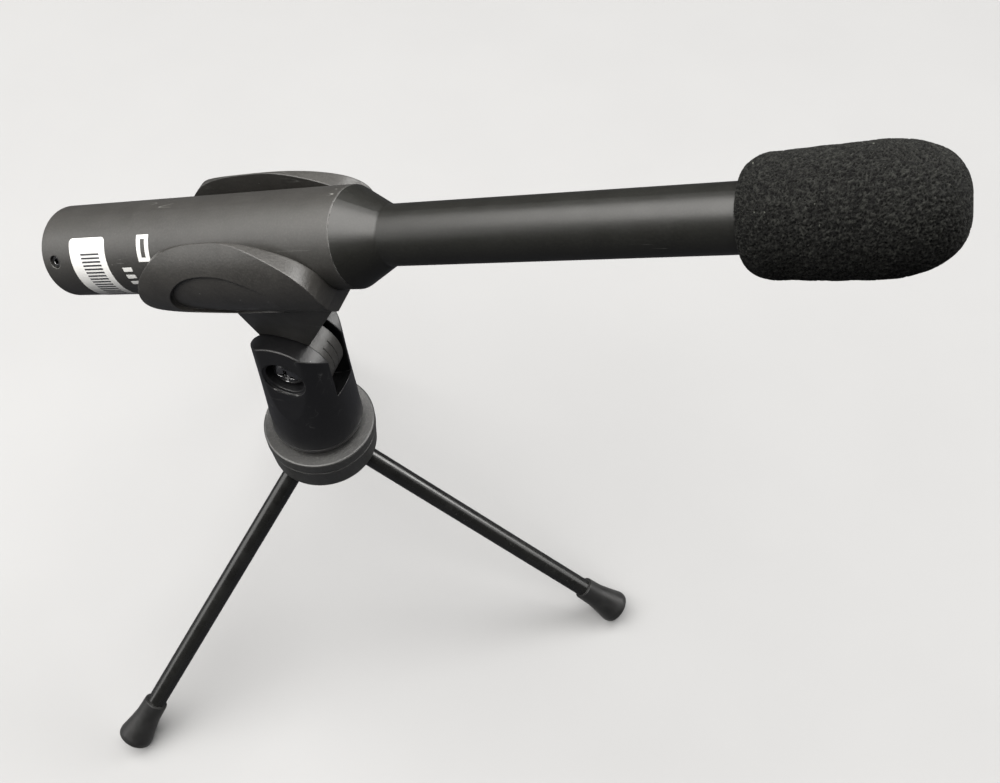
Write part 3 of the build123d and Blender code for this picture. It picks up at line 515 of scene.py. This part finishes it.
def foam_outline(rear, tip, bore):
    """Crowned outline, dense and smoothed, from the bore's rim round to the tip."""
    # rolled rear rim: (along the axis, radius)
    points = [
        (rear + 0.10, bore + 0.02), (rear, bore + 0.5), (rear + 0.02, 8.3),
        (rear + 0.55, 9.15), (rear + 1.5, 9.85), (rear + 2.7, 10.42), (rear + 4.4, 10.80),
    ]
    for i in range(1, 40):
        a = math.pi / 2 * i / 40
        points.append((tip - FOAM_CAP + FOAM_CAP * math.sin(a) ** (2 / FOAM_BLUNTNESS),
                       FOAM_RADIUS * math.cos(a) ** (2 / FOAM_BLUNTNESS)))
    points.append((tip, 0.0))
    along, radius = resample(*np.array(points).T, 1200)
    # Gaussian smoothing: the rim end is held, and the tip end mirrored across the axis
    reach = 20
    kernel = np.exp(-np.linspace(-2.2, 2.2, 2 * reach + 1) ** 2)
    kernel /= kernel.sum()

    def smooth(values, mirror):
        tail = mirror * values[-2:-reach - 2:-1]
        padded = np.concatenate([np.full(reach, values[0]), values, tail])
        return np.convolve(padded, kernel, "valid")

    along, radius = smooth(along, 1), smooth(radius, -1)
    radius[-1] = 0.0
    return along, np.maximum(radius, 0.0)


def ring(along, radius, count, turn=0.0):
    angles = [2 * math.pi * (i + turn) / count for i in range(count)]
    return [(along, radius * math.cos(a), radius * math.sin(a)) for a in angles]


def join_rings(rings):
    """Triangles between rings of different counts, each (first index, count).

    Only the last ring may be a single point.
    """
    faces = []
    for (i0, n0), (i1, n1) in zip(rings[:-1], rings[1:]):
        if n1 == 1:
            faces += [(i0 + k, i0 + (k + 1) % n0, i1) for k in range(n0)]
            continue
        a = b = 0
        while a < n0 or b < n1:
            if b >= n1 or (a < n0 and (a + 1) / n0 <= (b + 1) / n1):
                faces.append((i0 + a % n0, i0 + (a + 1) % n0, i1 + b % n1))
                a += 1
            else:
                faces.append((i0 + a % n0, i1 + (b + 1) % n1, i1 + b % n1))
                b += 1
    return faces


def skin_rings(along, radius):
    """Points, normals and rings of the smooth skin, from the bore's rim to the tip."""
    points, normals, rings = [], [], []
    along_slope, radius_slope = np.gradient(along), np.gradient(radius)
    for row in range(len(along)):
        if row == len(along) - 1:
            count, normal = 1, (1.0, 0.0)
        else:
            count = max(5, int(round(2 * math.pi * radius[row] / FOAM_PITCH)))
            length = math.hypot(along_slope[row], radius_slope[row])
            normal = (-radius_slope[row] / length, along_slope[row] / length)
        turn = 0.5 * (row % 2)
        rings.append((len(points), count))
        points += ring(along[row], radius[row], count, turn)
        normals += ring(*normal, count, turn)
    return points, normals, rings


def cut_cells(points, skin_count, along, radius, rear, tip):
    """Outward move of each skin point, and how far each point is a strut.

    Pore centres are a jittered lattice near the skin. A point about as near to its second
    centre as to its first is on the wall between two pores.
    """
    rng = np.random.default_rng(7)
    low, high = points.min(0) - 1, points.max(0) + 1
    axes = [np.arange(a, b, PORE_SPACING) for a, b in zip(low, high)]
    pores = np.stack(np.meshgrid(*axes, indexing="ij"), -1).reshape(-1, 3)
    pores += rng.uniform(-0.42, 0.42, pores.shape) * PORE_SPACING
    skin_radius = np.interp(pores[:, 0], along, radius, left=0, right=0)
    off_skin = np.abs(np.hypot(pores[:, 1], pores[:, 2]) - skin_radius)
    pores = pores[(off_skin < 1.5) | (pores[:, 0] > tip - 2.5) | (pores[:, 0] < rear + 1.5)]
    tree = kdtree.KDTree(len(pores))
    for i, pore in enumerate(pores):
        tree.insert(pore, i)
    tree.balance()
    # about one pore in eight stays closed
    depths = rng.uniform(0.12, 0.36, len(pores)) * (rng.uniform(0, 1, len(pores)) > 0.12)
    strut = np.ones(len(points))
    move = np.zeros(skin_count)
    for i in range(skin_count):
        nearest, second = tree.find_n(points[i], 2)
        gap = second[2] - nearest[2]
        wall = 1 - min(1.0, max(0.0, (gap - 0.02) / 0.16))
        wall = wall * wall * (3 - 2 * wall)
        depth = depths[nearest[1]]
        move[i] = 0.08 * wall - depth * (1 - wall)
        # strut 0 marks an open pore, which the foam look paints near black as the shade inside it; closed pores
        # stay paler
        strut[i] = max(wall, 0.6 if depth == 0 else 0.0)
    return move, strut


def make_foam():
    rear, tip, bore, floor = foam_extent()
    along, radius = foam_outline(rear, tip, bore)
    rows = int(arc_length(along, radius)[-1] / (FOAM_PITCH * 0.9))
    along, radius = resample(along, radius, rows)
    points, normals, rings = skin_rings(along, radius)
    skin_count = len(points)
    faces = join_rings(rings)

    # the bore and its floor, coarser, joined to the skin's rim: (along, radius, count)
    bore_depths = [rear + 0.35, *np.linspace(rear + 1.2, floor, 18)]
    stations = [(depth, bore + BORE_GAP, 72) for depth in bore_depths]
    stations += [(floor, 4.4, 48), (floor, 2.2, 48), (floor, 0.0, 1)]
    inner_rings = [rings[0]]
    for station in stations:
        inner_rings.append((len(points), station[2]))
        points += ring(*station)
    faces += [tuple(reversed(face)) for face in join_rings(inner_rings)]
    points = np.array(points)

    move, strut = cut_cells(points, skin_count, along, radius, rear, tip)
    # slow unevenness of the cut foam, none at the rear
    x, top, side = points[:skin_count].T
    angle = np.arctan2(side, top)
    lump = 0.04 * np.sin(x * 0.55 + 2.0 * angle) + 0.03 * np.sin(x * 1.3 - 3.0 * angle + 1.0)
    move += lump * np.clip((x - rear) / 3.0, 0, 1)
    # the rim stays still where it meets the bore
    fade = np.clip((np.hypot(top, side) - bore - 0.3) / 0.8, 0, 1)
    fade = np.where(x < rear + 1.0, fade, 1.0)
    points[:skin_count] += np.array(normals) * (move * fade)[:, None]
    # the soft tip leans a little to the top and away from the label side
    lean_start = rear + 12
    lean = np.clip((points[:, 0] - lean_start) / (tip - lean_start), 0, 1) ** 1.6
    points[:, 1] += 0.42 * lean
    points[:, 2] -= 0.34 * lean

    places = np.array(MIC_ORIGIN) + MM * (points @ np.array([MIC_AXIS, MIC_TOP, LABEL_SIDE]))
    mesh = bpy.data.meshes.new("foam_skin")
    mesh.from_pydata([tuple(place) for place in places], [], faces)
    mesh.update()
    attribute = mesh.attributes.new("strut", "FLOAT", "POINT")
    attribute.data.foreach_set("value", strut.astype(np.float32))
    mesh.polygons.foreach_set("use_smooth", [True] * len(mesh.polygons))
    cover = bpy.data.objects.new("foam_open_cell_cover", mesh)
    scene.collection.objects.link(cover)
    mesh.materials.append(LOOKS["foam_windscreen"])
    return cover


foam = make_foam()
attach(foam, "windscreen")
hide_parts("foam_windscreen")


# ---------------------------------------------------------------------------
# floor, world, lights, camera
# ---------------------------------------------------------------------------
BACKDROP = (0.80, 0.81, 0.82, 1.0)


def floor_look():
    """Mid grey for the camera, fading far out into the backdrop; darker for other rays."""
    g = Graph("studio_floor_look")
    cloud = g.noise(mm=60.0, rough=0.5)
    seen = g.add("LightPath").outputs["Is Camera Ray"]
    tone = g.mix(g.step(cloud), (0.305, 0.306, 0.309), (0.311, 0.312, 0.315))
    g.set(Base_Color=g.mix(seen, (0.022, 0.023, 0.027), tone), Roughness=0.75,
          Specular_IOR_Level=0.25)
    g.bump(g.noise(mm=0.8), depth_mm=0.01, strength=0.2)
    place = g.add("NewGeometry").outputs["Position"]
    distance = g.add("VectorMath", {0: place}, operation="LENGTH").outputs["Value"]
    haze = g.add("Emission", {"Color": BACKDROP})
    far = g.times(g.step(distance, lo=0.65, hi=1.5), seen)
    fade = g.add("MixShader", {0: far, 1: g.bsdf.outputs[0], 2: haze.outputs[0]})
    g.put(g.out.inputs["Surface"], fade.outputs[0])
    return g.mat


def make_floor():
    cells, half, z = 60, 4.0, -0.0002
    ticks = [-half + 2 * half * i / cells for i in range(cells + 1)]
    points = [(x, y, z) for y in ticks for x in ticks]
    row = cells + 1
    corners = [j * row + i for j in range(cells) for i in range(cells)]
    mesh = bpy.data.meshes.new("studio_floor")
    mesh.from_pydata(points, [], [(c, c + 1, c + row + 1, c + row) for c in corners])
    floor = bpy.data.objects.new("studio_floor", mesh)
    scene.collection.objects.link(floor)
    mesh.materials.append(floor_look())


def make_world():
    """A faint cool fill light, with the pale backdrop shown to the camera only."""
    world = bpy.data.worlds.new("studio_world")
    scene.world = world
    world.use_nodes = True
    nodes, links = world.node_tree.nodes, world.node_tree.links
    fill = nodes["Background"]
    fill.inputs["Color"].default_value = (0.86, 0.90, 0.95, 1.0)
    fill.inputs["Strength"].default_value = 0.034
    backdrop = nodes.new("ShaderNodeBackground")
    backdrop.inputs["Color"].default_value = BACKDROP
    path = nodes.new("ShaderNodeLightPath")
    mix = nodes.new("ShaderNodeMixShader")
    links.new(path.outputs["Is Camera Ray"], mix.inputs[0])
    links.new(fill.outputs[0], mix.inputs[1])
    links.new(backdrop.outputs[0], mix.inputs[2])
    links.new(mix.outputs[0], nodes["World Output"].inputs["Surface"])


def softbox(name, place, aim, size, power, colour=(1.0, 0.99, 0.97)):
    data = bpy.data.lights.new(name, "AREA")
    data.shape = "RECTANGLE"
    data.size, data.size_y = size
    data.energy = power
    data.color = colour
    light = bpy.data.objects.new(name, data)
    light.location = place
    light.rotation_mode = "QUATERNION"
    light.rotation_quaternion = (Vector(aim) - Vector(place)).to_track_quat("-Z", "Y")
    scene.collection.objects.link(light)


def make_camera():
    data = bpy.data.cameras.new("camera")
    data.lens = 40.866
    data.sensor_fit = "HORIZONTAL"
    data.sensor_width = 36.0
    data.clip_start = 0.01
    data.clip_end = 20.0
    camera = bpy.data.objects.new("camera", data)
    place = (0.10536477, -0.14135728, 0.33327207)
    right = Vector((0.945715, 0.324365, -0.020245))
    up = Vector((-0.255714, 0.781109, 0.569630))
    forward = Vector((-0.200582, 0.533531, -0.821652))
    rotation = Matrix((right, up, -forward)).transposed()
    camera.matrix_world = Matrix.Translation(place) @ rotation.to_4x4()
    scene.collection.objects.link(camera)
    scene.camera = camera


make_floor()
make_world()
softbox("key_softbox", place=(-0.45, -0.25, 1.30), aim=(-0.45, -0.25, 0.0), size=(1.9, 1.5),
        power=62.0, colour=(1.0, 0.98, 0.95))
softbox("back_ceiling", place=(0.36, 0.66, 1.12), aim=(0.0, 0.0, 0.12), size=(0.50, 0.40),
        power=6.5)
softbox("window_right", place=(0.80, 0.62, 0.58), aim=(0.0, 0.0, 0.12), size=(0.60, 0.42),
        power=5.0)
softbox("left_panel", place=(-1.35, -0.60, 0.50), aim=(0.0, 0.0, 0.10), size=(1.30, 0.75),
        power=6.0)
softbox("right_panel", place=(1.35, 0.45, 0.48), aim=(0.0, 0.0, 0.10), size=(1.00, 0.60),
        power=3.0)
make_camera()

scene.view_settings.view_transform = "Standard"
scene.view_settings.exposure = 0.0
